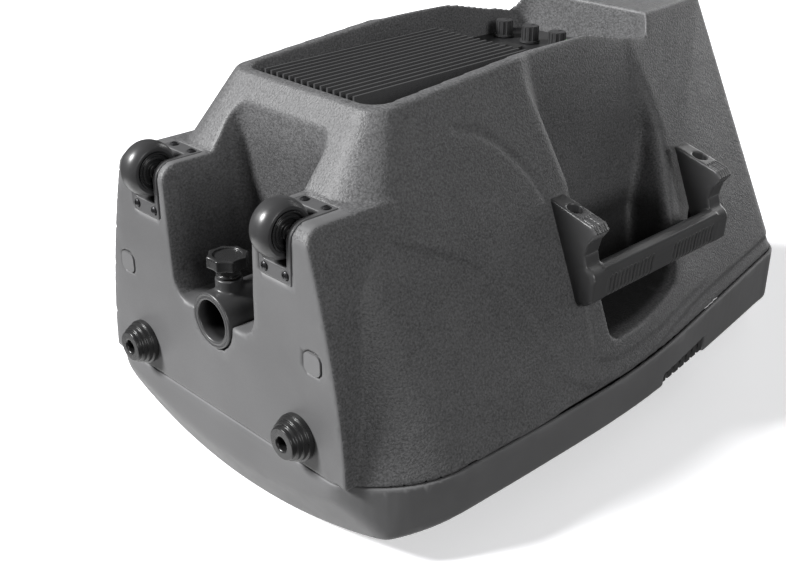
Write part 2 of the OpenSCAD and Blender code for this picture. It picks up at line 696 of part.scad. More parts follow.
place() driver_leads();
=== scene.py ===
"""Looks of a moulded loudspeaker on wheels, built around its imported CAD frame.

Shapes are worked out in the pole frame: millimetres, origin where the pole's axis meets the flat
bottom of the cabinet, front towards -Y, top towards +Z. to_row() turns that into the row's metres.
"""

import json
import math

import bmesh
import bpy
import numpy as np
import openvdb as vdb
from mathutils import Matrix, Vector


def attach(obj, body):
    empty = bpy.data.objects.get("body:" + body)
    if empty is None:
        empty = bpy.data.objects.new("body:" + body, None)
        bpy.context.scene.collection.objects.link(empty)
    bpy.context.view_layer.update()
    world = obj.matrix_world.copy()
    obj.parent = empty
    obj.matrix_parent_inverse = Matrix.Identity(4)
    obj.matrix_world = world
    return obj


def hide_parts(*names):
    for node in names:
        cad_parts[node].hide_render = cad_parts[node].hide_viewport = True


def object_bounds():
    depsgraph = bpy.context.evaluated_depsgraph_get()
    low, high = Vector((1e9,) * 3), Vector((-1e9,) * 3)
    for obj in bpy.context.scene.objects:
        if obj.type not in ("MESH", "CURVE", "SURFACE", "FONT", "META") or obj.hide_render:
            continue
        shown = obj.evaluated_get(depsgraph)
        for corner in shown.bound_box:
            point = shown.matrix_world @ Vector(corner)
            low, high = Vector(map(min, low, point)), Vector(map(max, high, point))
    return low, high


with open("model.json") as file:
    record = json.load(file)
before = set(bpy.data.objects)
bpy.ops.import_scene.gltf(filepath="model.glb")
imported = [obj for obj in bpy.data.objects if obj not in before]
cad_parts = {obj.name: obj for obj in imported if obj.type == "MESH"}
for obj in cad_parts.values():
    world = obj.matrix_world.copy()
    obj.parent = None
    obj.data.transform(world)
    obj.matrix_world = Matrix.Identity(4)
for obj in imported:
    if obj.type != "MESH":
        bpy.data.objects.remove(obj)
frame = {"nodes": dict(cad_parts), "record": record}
cad_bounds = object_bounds()

# ---------- driving sizes, in millimetres in the pole frame ----------
SHIFT = np.array([0.0, -12.0, 17.5])
MM = 0.001
HALF_W = 207.5
CAB_H = 672.0
WALL = 4.0
SEAM_Y = -87.3
LOW_R = 105.0
LOW_CZ = 94.0
TOP_R = 46.0
WIDEST_Z = 260.0
UPPER_Z = 409.0
FRONT_Y = -166.0
BOW_R = 593.0
CHAMFER_R = 908.0
REAR_Y = 190.0
RIM_R = 20.0
RIM_W = 92.0
RIM_Z = 96.0
BEND_Y = 57.0
BEND_R = 58.5
BEND_W = 144.0
BEND_Z = 6.4
LEG_Y = 117.0
LEG_R = 16.0
NOTCH_W = 54.0
NOTCH_H = 82.0
POLE_R = 18.0
TUBE_R = 24.5
BORE_H = 106.0
CLAMP_Z = 19.0
FOOT = (106.4, -60.9)
PLUG = (125.0, 11.0)
WHEEL_X = 85.75
WHEEL_R = 23.8
WHEEL_W = 24.0
HUB_R = 16.0
AXLE = (107.6, 6.5)
GRIP_Z0 = 256.0
GRIP_Z1 = 466.0
ARM_T = 20.0
BAFFLE_Y0 = -118.0
BAFFLE_Y1 = -106.0
WOOFER_Z = 215.0
HORN_Z = 540.0
PORT = (150.0, 420.0)
PANEL_Y = 150.0
OPENING = (82.0, 106.0, 470.0, 18.0)
POCKET_Y = -53.5
SEAM_GAP = 0.3
SHELL_PITCH = 2.0
PLUG_HALF = (9.5, 9.0)
RELIEF_STEP = 1.8
CREASE_DEPTH = 1.4
KNOB_R = 18.0
KNOB_Y0 = 44.0
KNOB_Y1 = 54.4
GRILLE_GAP = 0.6
GRILLE_BORDER = 9.0
SHEET_FRONT = 3.05
SHEET_BACK = 4.45
HOLE_PITCH = 6.4
HOLE_SHARE = 0.78
# how far the deep attribute's painted shade darkens a surface, and how much of that painted shade the
# scoop gets
DARKEST_PAINTED_SHADE = 0.22
SCOOP_PAINTED_SHADE = 0.42


def to_row(points):
    """Millimetres in the pole frame as metres in the row's frame."""
    return (np.asarray(points, float) + SHIFT) * MM


# ---------- distance fields: negative inside a shape, millimetres ----------
class Field:
    """A box of space sampled every pitch millimetres; x, y and z broadcast over it."""

    def __init__(self, low, high, pitch):
        self.low = np.array(low, float)
        self.pitch = pitch
        axes = [np.arange(a, b + pitch, pitch, dtype=np.float32) for a, b in zip(low, high)]
        self.x = axes[0][:, None, None]
        self.y = axes[1][None, :, None]
        self.z = axes[2][None, None, :]

    def surface(self, d, thin=0.0, whole=False):
        """Points, faces and normals of the surface; whole mirrors a half that starts at x = 0."""
        low = self.low.copy()
        if whole:
            low[0] = -self.pitch * (d.shape[0] - 1)
            d = np.concatenate([d[:0:-1], d])
        reach = 3 * self.pitch
        d = np.ascontiguousarray(np.clip(d, -reach, reach), dtype=np.float32)
        grid = vdb.FloatGrid(background=reach)
        grid.copyFromArray(d)
        points, tris, quads = grid.convertToPolygons(isovalue=0.0, adaptivity=thin)
        step = np.eye(3) * 0.9
        slope = np.stack([sample(d, points + s) - sample(d, points - s) for s in step], 1)
        normals = slope / np.maximum(np.linalg.norm(slope, axis=1), 1e-9)[:, None]
        faces = tris.tolist() + quads.tolist()
        return low + points * self.pitch, faces, normals


def sample(d, at):
    """Values of the grid d at points given in grid steps, blended from the eight neighbours."""
    at = np.clip(at, 0, np.array(d.shape) - 1.001)
    cell = at.astype(int)
    part = at - cell
    total = np.zeros(len(at))
    for i in (0, 1):
        for j in (0, 1):
            for k in (0, 1):
                share = (abs(1 - i - part[:, 0]) * abs(1 - j - part[:, 1]) * abs(1 - k - part[:, 2]))
                total += share * d[cell[:, 0] + i, cell[:, 1] + j, cell[:, 2] + k]
    return total


def smax(a, b, k):
    """Both shapes at once, their shared edge softened over about k."""
    near = np.maximum(k - np.abs(a - b), 0)
    return np.maximum(a, b) + near * near / (4 * k)


def smin(a, b, k):
    """Either shape, with a fillet of about k between them."""
    return -smax(-a, -b, k)


def cut(a, b, k=0.6):
    """Shape a with b taken away."""
    return smax(a, -b, k)


def rmax(a, b, r):
    """Both shapes at once, their shared edge rounded to radius r."""
    u = np.maximum(a + r, 0)
    v = np.maximum(b + r, 0)
    return np.sqrt(u * u + v * v) + np.minimum(np.maximum(a, b) + r, 0) - r


def rod(u, v, r):
    """An endless round rod, u and v being distances from its axis."""
    return np.sqrt(u * u + v * v) - r


def between(v, low, high):
    return np.maximum(low - v, v - high)


def softstep(v, low, high):
    t = np.clip((v - low) / (high - low), 0, 1)
    return t * t * (3 - 2 * t)


def softened(d, times):
    """The field averaged over its neighbours, which takes the facets off a shape."""
    for _ in range(times):
        for axis in range(3):
            size = d.shape[axis]
            up = np.take(d, np.minimum(np.arange(size) + 1, size - 1), axis=axis)
            down = np.take(d, np.maximum(np.arange(size) - 1, 0), axis=axis)
            d = 0.5 * d + 0.25 * (up + down)
    return d


def polygon(u, v, points):
    """Distance to a closed flat polygon, negative inside."""
    best = np.full(np.broadcast(u, v).shape, 1e9, np.float32)
    inside = np.zeros(best.shape, bool)
    for (au, av), (bu, bv) in zip(points, points[1:] + points[:1]):
        du, dv = bu - au, bv - av
        t = np.clip(((u - au) * du + (v - av) * dv) / (du * du + dv * dv), 0, 1)
        best = np.minimum(best, (u - au - t * du) ** 2 + (v - av - t * dv) ** 2)
        if dv:
            inside ^= ((av > v) != (bv > v)) & (u < (v - av) * du / dv + au)
    return np.where(inside, -np.sqrt(best), np.sqrt(best))


def hull_planes(points):
    """Outward normals and offsets of the faces of a convex hull."""
    mesh = bmesh.new()
    for p in points:
        mesh.verts.new(p)
    bmesh.ops.convex_hull(mesh, input=mesh.verts)
    mesh.faces.ensure_lookup_table()
    bmesh.ops.dissolve_limit(mesh, angle_limit=0.002, verts=mesh.verts, edges=mesh.edges)
    middle = Vector(np.mean(points, 0))
    planes = []
    for f in mesh.faces:
        n = f.normal.normalized()
        d = n.dot(f.verts[0].co)
        if n.dot(middle) > d:
            n, d = -n, -d
        planes.append((n.x, n.y, n.z, d))
    mesh.free()
    return planes


# ---------- pieces ----------
def add_piece(name, verts, faces, material, body, stands_for=(), normals=None):
    """A mesh from millimetre points in the pole frame, riding on a CAD body."""
    mesh = bpy.data.meshes.new(name)
    mesh.from_pydata(to_row(verts).tolist(), [], faces)
    mesh.validate()
    mesh.polygons.foreach_set("use_smooth", [True] * len(mesh.polygons))
    if normals is not None:
        mesh.normals_split_custom_set_from_vertices(normals.tolist())
    mesh.update()
    return finish_piece(bpy.data.objects.new(name, mesh), material, body, stands_for)


def finish_piece(obj, material, body, stands_for=()):
    if obj.name not in bpy.context.scene.collection.objects:
        bpy.context.scene.collection.objects.link(obj)
    obj.data.materials.clear()
    obj.data.materials.append(material)
    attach(obj, body)
    if stands_for:
        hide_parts(*stands_for)
    return obj


def paint_shade(piece, share):
    """Writes the deep attribute, a painted shade which the materials read: 0 as it is, 1 darkest."""
    deep = piece.data.attributes.new("deep", "FLOAT", "POINT")
    deep.data.foreach_set("value", np.asarray(share, float).tolist())


def mirrored_piece(verts, faces, normals):
    """The same piece on the cabinet's other side."""
    flip = np.array([-1.0, 1.0, 1.0])
    turned = [f[::-1] for f in faces]
    return verts * flip, turned, None if normals is None else normals * flip


def both_sides(name, made, material, nodes, bodies=("cabinet", "cabinet")):
    """A piece for the +X side and its mirror image for the -X side."""
    add_piece(name + "_right", made[0], made[1], material, bodies[1], (nodes[1],), made[2])
    other = mirrored_piece(*made)
    add_piece(name + "_left", other[0], other[1], material, bodies[0], (nodes[0],), other[2])


def lathe(profile, steps=96):
    """Points and faces of a profile of (radius, height) turned about +Z; a closed loop."""
    turns = np.arange(steps) * 2 * math.pi / steps
    verts = [(r * math.cos(a), r * math.sin(a), h) for a in turns for r, h in profile]
    n = len(profile)
    faces = []
    for i in range(steps):
        for j in range(n):
            a, b = i * n + j, i * n + (j + 1) % n
            c, d = ((i + 1) % steps) * n + (j + 1) % n, ((i + 1) % steps) * n + j
            faces.append((a, d, c, b))
    return np.array(verts), faces


def rounded_profile(corners, radius=0.8, steps=4):
    """A closed profile of (radius, height) with each corner rounded."""
    made = []
    count = len(corners)
    for i, p in enumerate(corners):
        p = np.array(p, float)
        a = np.array(corners[i - 1], float) - p
        b = np.array(corners[(i + 1) % count], float) - p
        la, lb = np.linalg.norm(a), np.linalg.norm(b)
        reach = min(radius, la * 0.45, lb * 0.45)
        start, end = p + a / la * reach, p + b / lb * reach
        made.append(tuple(start + a / la * min(0.3, la * 0.04)))
        for t in np.linspace(0, 1, steps + 1):
            made.append(tuple((1 - t) ** 2 * start + 2 * t * (1 - t) * p + t * t * end))
        hold = min(0.3, lb * 0.04)
        made.append(tuple(end + b / lb * hold))
    return made


def along_x(verts, x, y, z):
    """Turns a lathe's +Z axis to +X and moves it to x, y, z."""
    return np.stack([verts[:, 2] + x, verts[:, 0] + y, verts[:, 1] + z], 1)


# ---------- materials ----------
def link(tree, a, b):
    tree.links.new(a, b)


def surface_material(name, base, rough, grain_mm=1.3, grain=0.35, depth_mm=0.25, speckle=0.12,
                     tone=0.08, metal=0.0, specular=0.5, coat=0.0, edge_wear_and_highlight=0.25, smooth_base=None):
    """A moulded or coated surface: pebble grain, patchy tone and roughness, and edges lightened by
    pointiness, which is wear on most materials and a painted highlight on the heatsink's fins.

    smooth_base is the colour of the flat faces that touch the floor, which carry no grain.
    A mesh's deep attribute darkens the insides of pockets, scoop and pole socket with painted shade.
    """
    mat = bpy.data.materials.new(name)
    mat.use_nodes = True
    tree = mat.node_tree
    nodes = tree.nodes
    bsdf = nodes["Principled BSDF"]
    bsdf.inputs["Metallic"].default_value = metal
    bsdf.inputs["Specular IOR Level"].default_value = specular
    bsdf.inputs["Coat Weight"].default_value = coat
    bsdf.inputs["Coat Roughness"].default_value = 0.25
    place = nodes.new("ShaderNodeTexCoord")

    def noise(scale, detail, roughness=0.5):
        n = nodes.new("ShaderNodeTexNoise")
        n.inputs["Scale"].default_value = scale
        n.inputs["Detail"].default_value = detail
        n.inputs["Roughness"].default_value = roughness
        link(tree, place.outputs["Object"], n.inputs["Vector"])
        return n.outputs["Fac"]

    def maths(kind, a, b, clamp=False):
        n = nodes.new("ShaderNodeMath")
        n.operation = kind
        n.use_clamp = clamp
        for socket, value in zip(n.inputs, (a, b)):
            if isinstance(value, (int, float)):
                socket.default_value = value
            else:
                link(tree, value, socket)
        return n.outputs[0]

    def spread(value, low, high, out_low, out_high):
        n = nodes.new("ShaderNodeMapRange")
        for i, v in enumerate((low, high, out_low, out_high)):
            n.inputs[i + 1].default_value = v
        link(tree, value, n.inputs[0])
        return n.outputs[0]

    def tint(value, colour):
        n = nodes.new("ShaderNodeMix")
        n.data_type = "RGBA"
        n.blend_type = "MULTIPLY"
        n.inputs["Factor"].default_value = 1.0
        n.inputs["A"].default_value = (*colour, 1)
        link(tree, value, n.inputs["B"])
        return n.outputs["Result"]

    pebble = noise(1000 / grain_mm, 2.5, 0.6)
    patch = noise(9, 3)
    streak = noise(45, 4, 0.65)
    geometry = nodes.new("ShaderNodeNewGeometry")
    # edges lighter by pointiness: wear on most materials, a painted highlight along the heatsink's fin
    # edges
    rubbed_and_highlit_edges = spread(geometry.outputs["Pointiness"], 0.51, 0.58, 0.0, edge_wear_and_highlight)
    shade = maths("ADD", spread(patch, 0.3, 0.7, 1 - tone, 1 + tone),
                  spread(streak, 0.3, 0.7, -tone * 0.5, tone * 0.5))
    speckled = maths("ADD", shade, spread(pebble, 0.3, 0.7, -speckle, speckle))
    lit = maths("ADD", speckled, rubbed_and_highlit_edges)
    roughness = maths("ADD", spread(streak, 0.3, 0.7, rough - 0.05, rough + 0.05),
                      spread(pebble, 0.3, 0.7, -0.04, 0.04))
    bump = nodes.new("ShaderNodeBump")
    bump.inputs["Strength"].default_value = grain
    bump.inputs["Distance"].default_value = depth_mm * MM
    height = pebble
    # painted shade: the deep attribute darkens the colour inside pockets, scoop and pole bore
    deep = nodes.new("ShaderNodeAttribute")
    deep.attribute_name = "deep"
    lit = maths("MULTIPLY", lit, spread(deep.outputs["Fac"], 0, 1, 1.0, DARKEST_PAINTED_SHADE))
    colour = tint(lit, base)
    if smooth_base is not None:
        split = nodes.new("ShaderNodeSeparateXYZ")
        link(tree, place.outputs["Object"], split.inputs[0])
        facing = nodes.new("ShaderNodeSeparateXYZ")
        link(tree, geometry.outputs["Normal"], facing.inputs[0])
        low = maths("LESS_THAN", split.outputs["Z"], (SHIFT[2] + 1.4) * MM)
        rear = maths("GREATER_THAN", facing.outputs["Y"], 0.8)
        legs = maths("LESS_THAN", split.outputs["Z"], (SHIFT[2] + 47) * MM)
        leg_face = maths("MULTIPLY", rear, legs)
        flat = maths("MAXIMUM", low, leg_face, clamp=True)
        height = maths("MULTIPLY", pebble, maths("SUBTRACT", 1.0, flat))
        plain = tint(maths("ADD", shade, rubbed_and_highlit_edges), smooth_base)
        choose = nodes.new("ShaderNodeMix")
        choose.data_type = "RGBA"
        link(tree, flat, choose.inputs["Factor"])
        link(tree, colour, choose.inputs["A"])
        link(tree, plain, choose.inputs["B"])
        colour = choose.outputs["Result"]
    link(tree, height, bump.inputs["Height"])
    link(tree, bump.outputs["Normal"], bsdf.inputs["Normal"])
    link(tree, colour, bsdf.inputs["Base Color"])
    link(tree, roughness, bsdf.inputs["Roughness"])
    return mat


MATERIALS = {
    "grained_shell": surface_material("grained_shell", (0.09, 0.09, 0.092), 0.5, grain_mm=1.9,
                                      grain=1.0, depth_mm=0.6, speckle=0.42, specular=0.36,
                                      smooth_base=(0.105, 0.105, 0.107)),
    "front_moulding": surface_material("front_moulding", (0.11, 0.11, 0.112), 0.52, grain_mm=0.6,
                                       grain=0.15, depth_mm=0.08, speckle=0.04, specular=0.28),
    "gasket_foam": surface_material("gasket_foam", (0.02, 0.02, 0.02), 0.9, grain_mm=0.8),
    "black_screw": surface_material("black_screw", (0.03, 0.03, 0.032), 0.32, grain_mm=0.5,
                                    grain=0.1, depth_mm=0.05, metal=0.7, edge_wear_and_highlight=0.5),
    "grille_steel": surface_material("grille_steel", (0.022, 0.022, 0.023), 0.42, grain_mm=0.35,
                                     grain=0.25, depth_mm=0.05, speckle=0.05),
    "port_plastic": surface_material("port_plastic", (0.02, 0.02, 0.02), 0.45, grain_mm=0.6,
                                     grain=0.15, depth_mm=0.08),
    "basket_steel": surface_material("basket_steel", (0.05, 0.05, 0.052), 0.4, metal=0.6),
    "ferrite": surface_material("ferrite", (0.06, 0.06, 0.062), 0.7, grain_mm=0.7),
    "zinc_steel": surface_material("zinc_steel", (0.5, 0.5, 0.5), 0.35, metal=1.0, grain_mm=0.5,
                                   grain=0.1, depth_mm=0.05),
    "cone_paper": surface_material("cone_paper", (0.03, 0.03, 0.031), 0.85, grain_mm=2.2,
                                   grain=0.5, depth_mm=0.3),
    "copper_coil": surface_material("copper_coil", (0.5, 0.22, 0.1), 0.35, metal=1.0),
    "surround_cloth": surface_material("surround_cloth", (0.02, 0.02, 0.021), 0.8, grain_mm=0.7,
                                       grain=0.6),
    "spider_cloth": surface_material("spider_cloth", (0.32, 0.24, 0.12), 0.85, grain_mm=0.7,
                                     grain=0.6),
    "titanium_foil": surface_material("titanium_foil", (0.45, 0.45, 0.46), 0.3, metal=1.0),
    "panel_paint": surface_material("panel_paint", (0.012, 0.012, 0.0125), 0.42, grain_mm=0.5,
                                    grain=0.2, depth_mm=0.06, speckle=0.05),
    # the heatsink's strong edge lightening is a painted highlight along its fin edges
    "heatsink_black": surface_material("heatsink_black", (0.024, 0.024, 0.0245), 0.28,
                                       grain_mm=0.5, grain=0.12, depth_mm=0.05, metal=0.3,
                                       edge_wear_and_highlight=2.5),
    "board_green": surface_material("board_green", (0.02, 0.13, 0.06), 0.4),
    "transformer_tape": surface_material("transformer_tape", (0.45, 0.32, 0.08), 0.4),
    "brass": surface_material("brass", (0.6, 0.43, 0.16), 0.3, metal=1.0),
    "inlet_plastic": surface_material("inlet_plastic", (0.02, 0.02, 0.02), 0.35, grain_mm=0.5,
                                      grain=0.1, depth_mm=0.05),
    "rocker_gloss": surface_material("rocker_gloss", (0.018, 0.018, 0.018), 0.18, grain_mm=0.5,
                                     grain=0.05, depth_mm=0.03),
    "knob_plastic": surface_material("knob_plastic", (0.03, 0.03, 0.031), 0.4, grain_mm=0.5,
                                     grain=0.12, depth_mm=0.06),
    "led_lens": surface_material("led_lens", (0.15, 0.45, 0.12), 0.15, coat=0.4),
    "socket_plastic": surface_material("socket_plastic", (0.045, 0.045, 0.046), 0.34, grain_mm=0.6,
                                       grain=0.14, depth_mm=0.08, speckle=0.04),
    "clamp_plastic": surface_material("clamp_plastic", (0.022, 0.022, 0.0225), 0.26, grain_mm=0.6,
                                      grain=0.1, depth_mm=0.06, speckle=0.04, edge_wear_and_highlight=0.5),
    "housing_plastic": surface_material("housing_plastic", (0.075, 0.075, 0.077), 0.42,
                                        grain_mm=0.6, grain=0.15, depth_mm=0.08, speckle=0.04),
    "wheel_plastic": surface_material("wheel_plastic", (0.012, 0.012, 0.0125), 0.24, grain_mm=0.5,
                                      grain=0.08, depth_mm=0.05, speckle=0.03),
    "wheel_tyre": surface_material("wheel_tyre", (0.034, 0.034, 0.035), 0.33, grain_mm=0.6,
                                   grain=0.08, depth_mm=0.05, speckle=0.05),
    "foot_rubber": surface_material("foot_rubber", (0.012, 0.012, 0.0123), 0.3, grain_mm=0.7,
                                    grain=0.2, depth_mm=0.08, speckle=0.06),
    "plug_plastic": surface_material("plug_plastic", (0.1, 0.1, 0.102), 0.5, grain_mm=0.6,
                                     grain=0.15, depth_mm=0.08, speckle=0.04),
    "handle_plastic": surface_material("handle_plastic", (0.052, 0.052, 0.053), 0.34, grain_mm=0.7,
                                       grain=0.15, depth_mm=0.08, speckle=0.05, edge_wear_and_highlight=0.5),
    "damping_felt": surface_material("damping_felt", (0.3, 0.3, 0.31), 0.95, grain_mm=2,
                                     grain=1.0, depth_mm=1.0),
    "lead_pvc": surface_material("lead_pvc", (0.35, 0.03, 0.03), 0.35),
}

for part in frame["record"]["subparts"]:
    node = frame["nodes"][part["node"]]
    node.data.materials.clear()
    node.data.materials.append(MATERIALS[part["material_slot"]])


# ---------- cabinet outline ----------
def level_w(z):
    """Half width of the seam outline at height z."""
    low = HALF_W - 0.00015 * (WIDEST_Z - z) ** 2
    mid = HALF_W - 0.00058 * (z - WIDEST_Z) ** 2
    top = HALF_W - 0.00058 * (UPPER_Z - WIDEST_Z) ** 2 - 0.173 * (z - UPPER_Z)
    return np.where(z < WIDEST_Z, low, np.where(z < UPPER_Z, mid, top))


def arc(cx, cz, r, start, end, steps):
    return [(cx + r * math.cos(math.radians(a)), cz + r * math.sin(math.radians(a)))
            for a in np.linspace(start, end, steps + 1)]


def half_outline():
    """The seam outline from its lowest to its highest point, as x and z."""
    top_cz = CAB_H - TOP_R
    low = arc(float(level_w(LOW_CZ)) - LOW_R, LOW_CZ, LOW_R, -90, 0, 18)
    side = [(float(level_w(z)), z) for z in np.linspace(LOW_CZ, top_cz, 24)[1:-1]]
    return low + side + arc(float(level_w(top_cz)) - TOP_R, top_cz, TOP_R, 0, 90, 12)


def outline_field(x, z):
    right = half_outline()
    left = [(-a, b) for a, b in reversed(right)]
    return polygon(x, z, right + left)


def body_field(f):
    """The tapered body behind the seam: a hull of the seam outline, the rods and the rear face."""
    points = [(s * x, SEAM_Y - 3, z) for x, z in half_outline() for s in (-1, 1)]
    for a in np.arange(0, 2 * math.pi, math.pi / 36):
        c, s = math.cos(a), math.sin(a)
        for side in (-1, 1):
            points.append((side * (BEND_W - BEND_R) + BEND_R * c, BEND_Y, BEND_Z + BEND_R + BEND_R * s))
            points.append((side * (RIM_W - RIM_R) + RIM_R * c, 176, RIM_Z + RIM_R + RIM_R * s))
    for x, z in ((RIM_W, 281), (64, 572), (44, 594)):
        points += [(x, REAR_Y, z), (-x, REAR_Y, z)]
    d = None
    for nx, ny, nz, off in hull_planes(points):
        if nx > -0.2:
            plane = (nx * f.x + ny * f.y - off) + nz * f.z
            d = plane if d is None else np.maximum(d, plane)
    return softened(d, 1)


def base_w(y):
    return 160.5 - 41 * np.clip((y - SEAM_Y) / (LEG_Y - SEAM_Y), 0, 2) ** 1.63


def base_field(f, t=0.0):
    """The flat-bottomed base with the two legs, drawn in by t."""
    plan = (f.x - base_w(f.y) + t) * 0.97
    side = rmax(f.y - LEG_Y + t, t - f.z, LEG_R)
    return rmax(smax(side, f.z - 90 + t, 2), plan, 2.2)


def notch_field(f, t=0.0):
    """The scoop between the legs, open downwards and to the rear."""
    width = f.x - NOTCH_W - 0.0495 * (f.y - 21) - t
    plan = rmax(width, 3 - t - f.y, 18)
    return rmax(plan, f.z - NOTCH_H - t, 13)


def pocket_field(f, t=0.0):
    """The deep finger pocket behind a side handle."""
    floor_x = np.where(f.y > 16, 104 - (f.y - 16) * 0.0561, 104 + (16 - f.y) * 0.243)
    low = np.interp(f.y, (-17, 83, 168), (289, 290, 271)).astype(np.float32)
    high = np.interp(f.y, (-40, 60, 88, 150), (417, 437, 440, 427)).astype(np.float32)
    front = POCKET_Y + 0.0016 * np.maximum(f.z - 320, 0) ** 2
    walls = rmax(low - f.z, f.z - high, 3)
    ends = rmax(walls, front - f.y, 11)
    return rmax(ends, floor_x - f.x, 9) - t


def opening_field(f, inset=0.0):
    half, low, high, r = OPENING
    r -= inset * 0.5
    u = np.abs(f.x) - half + inset
    v = np.abs(f.z - (low + high) / 2) - (high - low) / 2 + inset
    return rmax(u, v, r)


def relief(f):
    """Shallow steps moulded into the cabinet's sides, as millimetres to raise the surface."""
    y, z = f.y, f.z
    field_edge = [(101, 40), (101, 57), (92, 72), (83, 90), (71, 117), (56, 146), (33, 173),
                  (1, 198), (-31, 212), (-64, 226), (-78, 248), (-84, 290), (-83, 352),
                  (-75, 398), (-70, 460), (-70, 700), (300, 700), (300, 40)]
    frame_edge = [(40, 262), (-11, 266), (-48, 263), (-62, 268), (-68, 290), (-69, 326),
                  (-67, 375), (-62, 420), (-62, 700), (300, 700), (300, 262)]
    crease = [(149, 170), (143, 192), (131, 211), (113, 229), (96, 242), (76, 251), (76, 252),
              (97, 243), (114, 230), (132, 212), (144, 193), (150, 171)]
    field = polygon(y, z, field_edge)
    outer = -RELIEF_STEP * softstep(field, -1.5, 3)
    outer = outer * (1 - softstep(field, 6, 60)) * softstep(z, 40, 90)
    inner = polygon(y, z, frame_edge)
    raised = RELIEF_STEP * (1 - softstep(inner, -3, 1.5))
    raised = raised * (1 - softstep(y, -20, 30)) * (1 - softstep(z, 420, 520))
    groove = -CREASE_DEPTH * (1 - softstep(np.abs(polygon(y, z, crease)), 0, 5))
    return (outer + raised + groove) * softstep(f.x, 60, 95)


def build_shell():
    """The rear moulding with its scoop, pockets, recesses and creases."""
    f = Field((0, SEAM_Y - 6.7, -6), (210, 194, 678), SHELL_PITCH)
    body = body_field(f)
    outer = smin(body - relief(f), base_field(f), 1.5)
    outer = smax(outer, -f.z, 1.5)
    outer = cut(outer, notch_field(f), 1.8)
    shoulder = 3 + 13 * softstep(f.y, -10, 70)
    outer = cut(outer, pocket_field(f), shoulder)
    recess = np.maximum(opening_field(f), PANEL_Y - 3 - f.y)
    outer = cut(outer, recess, 2.5)
    top = rmax(rmax(f.x - 72, np.abs(f.y - 15) - 29, 9), 600 - f.z, 7)
    outer = cut(outer, top, 4)
    inner = np.maximum(outer, -np.maximum(rod(f.x, f.y, TUBE_R + 0.3), f.z - BORE_H - 4))
    seat = rmax(between(f.x, 66.9, 104.6), np.maximum(67.9 - f.y, f.z - 48.1), 0.6)
    inner = np.maximum(inner, -seat) + WALL
    shell = np.maximum(outer, -inner)
    shell = cut(shell, np.maximum(opening_field(f, 12), 130 - f.y))
    shell = cut(shell, np.maximum(rod(f.x, f.y, TUBE_R + 0.3), f.z - BORE_H - 4))
    shell = cut(shell, seat, 1.0)
    plug = rmax(np.abs(f.x - PLUG[0]) - PLUG_HALF[0], np.abs(f.y - PLUG[1]) - PLUG_HALF[1], 5)
    shell = cut(shell, np.maximum(plug, f.z - 2.8), 0.8)
    for z in (GRIP_Z0 + ARM_T / 2, GRIP_Z1 - ARM_T / 2):
        shell = cut(shell, np.maximum(rod(f.x - 158, f.z - z, 4.3), between(f.y, -10, 60)))
    # takes away the front wall that the hollowing leaves just behind the seam
    behind_seam = np.maximum(outline_field(f.x, f.z) + 40, f.y - SEAM_Y - 8)
    shell = cut(shell, behind_seam)
    shell = smax(shell, SEAM_Y + SEAM_GAP - f.y, 1.4)
    verts, faces, normals = f.surface(shell, thin=0.03, whole=True)
    piece = add_piece("moulded_shell", verts, faces, MATERIALS["grained_shell"], "cabinet",
                      ("rear_shell",), normals)
    # a painted-in shade, not a second plastic: the photo's pockets and scoop are darker
    at = np.stack([np.abs(verts[:, 0]), verts[:, 1], verts[:, 2]], 1)
    depth = -sample(body + 0 * f.x, (at - f.low) / f.pitch)
    inside = softstep(depth, 4, 13) * softstep(45 - verts[:, 1], 0, 30)
    in_pocket = inside * (verts[:, 2] > 270) * (at[:, 0] > 85)
    uncut = -sample(np.minimum(body, base_field(f)) + 0 * f.x, (at - f.low) / f.pitch)
    in_scoop = (verts[:, 2] < 95) * (at[:, 0] < 66) * (verts[:, 1] > 2)
    paint_shade(piece, np.maximum(in_pocket, SCOOP_PAINTED_SHADE * softstep(uncut, 3, 30) * in_scoop))


def front_form(f, outline, t=0.0):
    """The front moulding's outer form: the outline, the bow and the lower chamfer."""
    bow = rod(f.x, f.y - FRONT_Y - BOW_R, BOW_R - t)
    form = smax(outline + t, bow, 5)
    slope = math.radians(63.435)
    c, s = math.cos(slope), math.sin(slope)
    mid_y, mid_z = -126.4 + t + CHAMFER_R * c, CHAMFER_R * s
    chamfer = rod(f.x, (f.y - mid_y) * c + (f.z - mid_z) * s, CHAMFER_R)
    return smax(smax(form, chamfer, 5), t - f.z, 2.5)


def grille_field(x, z, outline):
    band = np.maximum(36 - z, z - 372)
    disc = rod(x, z - WOOFER_Z, 186)
    return np.maximum(outline + 16, np.minimum(band, disc))


